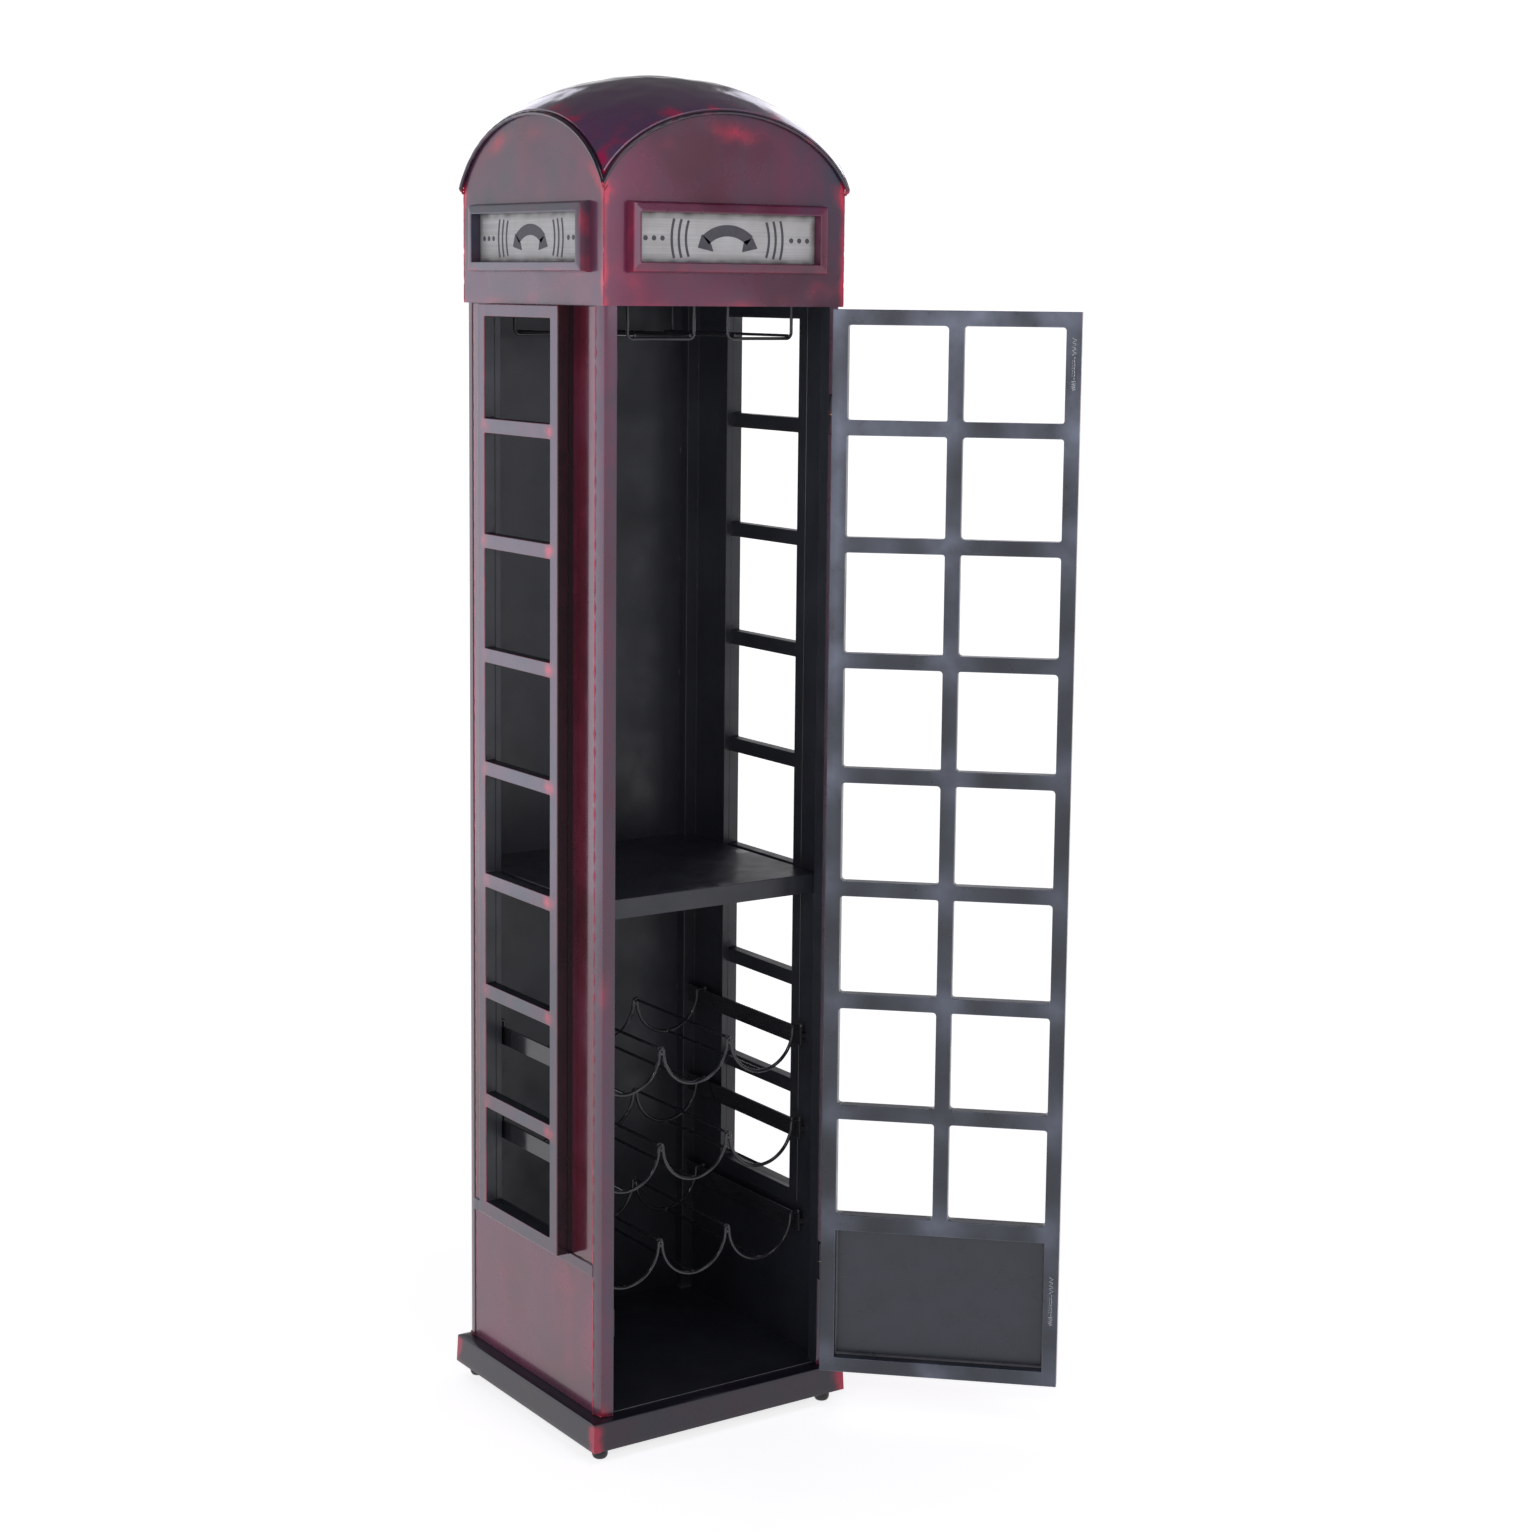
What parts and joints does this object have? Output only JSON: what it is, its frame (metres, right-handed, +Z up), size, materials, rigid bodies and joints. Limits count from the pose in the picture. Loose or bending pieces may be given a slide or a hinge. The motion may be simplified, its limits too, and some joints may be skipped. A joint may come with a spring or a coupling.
{
  "type": "drinks cabinet",
  "caption": "Upright sheet-metal drinks cabinet shaped like a domed telephone booth, with a hinged open-grille door, shelf, bottle racks and hanging stemware racks.",
  "frame": {"origin": "centre of the top face of the cabinet floor pan", "axes": "+Z up, -Y out through the front opening, +X to the right seen from the front, the side the door is hung on"},
  "size_m": [0.6493, 0.6439, 1.8735],
  "materials": {
    "lacquer": "antiqued satin-gloss burgundy lacquer outside, charcoal inside",
    "interior": "semi-gloss black",
    "wire": "semi-gloss black",
    "sign": "aged pale enamel",
    "rubber": "black moulded pad",
    "plastic": "black magnet housing",
    "screw": "zinc plated",
    "washer": "plain",
    "handle": "dark gunmetal lacquer",
    "strike": "worn plated steel"
  },
  "bodies": {
    "cabinet": {"back_panel": "lacquer", "belt_rail_left": "lacquer", "belt_rail_right": "lacquer", "catch_screws": "screw", "catches": "plastic", "ceiling": "interior", "feet": "rubber", "floor_pan": "interior", "head_front": "lacquer", "head_left": "lacquer", "head_rear": "lacquer", "head_right": "lacquer", "hinge_post_halves": "lacquer", "hinge_washers": "washer", "lower_panel_left": "lacquer", "lower_panel_right": "lacquer", "plinth": "lacquer", "post_front_left": "lacquer", "post_front_right": "lacquer", "post_rear_left": "lacquer", "post_rear_right": "lacquer", "rack_runners_bottom": "wire", "rack_runners_middle": "wire", "rack_runners_top": "wire", "rack_sides_bottom": "wire", "rack_sides_middle": "wire", "rack_sides_top": "wire", "rack_wires_bottom": "wire", "rack_wires_middle": "wire", "rack_wires_top": "wire", "roof": "lacquer", "roof_lip_front": "lacquer", "roof_lip_left": "lacquer", "roof_lip_rear": "lacquer", "roof_lip_right": "lacquer", "shelf": "interior", "shelf_cleats": "interior", "side_strips_left": "lacquer", "side_strips_right": "lacquer", "sign_frame_front": "lacquer", "sign_frame_left": "lacquer", "sign_frame_right": "lacquer", "sign_plate_front": "sign", "sign_plate_left": "sign", "sign_plate_right": "sign", "stem_rack_left": "wire", "stem_rack_right": "wire", "window_left": "lacquer", "window_right": "lacquer"},
    "door": {"door_frame": "lacquer", "door_muntins": "lacquer", "door_panel": "lacquer", "door_handle": "handle", "strikes": "strike", "hinge_door_halves": "lacquer"}
  },
  "joints": [
    {"name": "door_hinge", "type": "hinge", "parent": "cabinet", "child": "door", "pos_m": [0.171, -0.196, 0], "axis": [0, 0, 1], "range_deg": [-136.65, 43.35]}
  ]
}
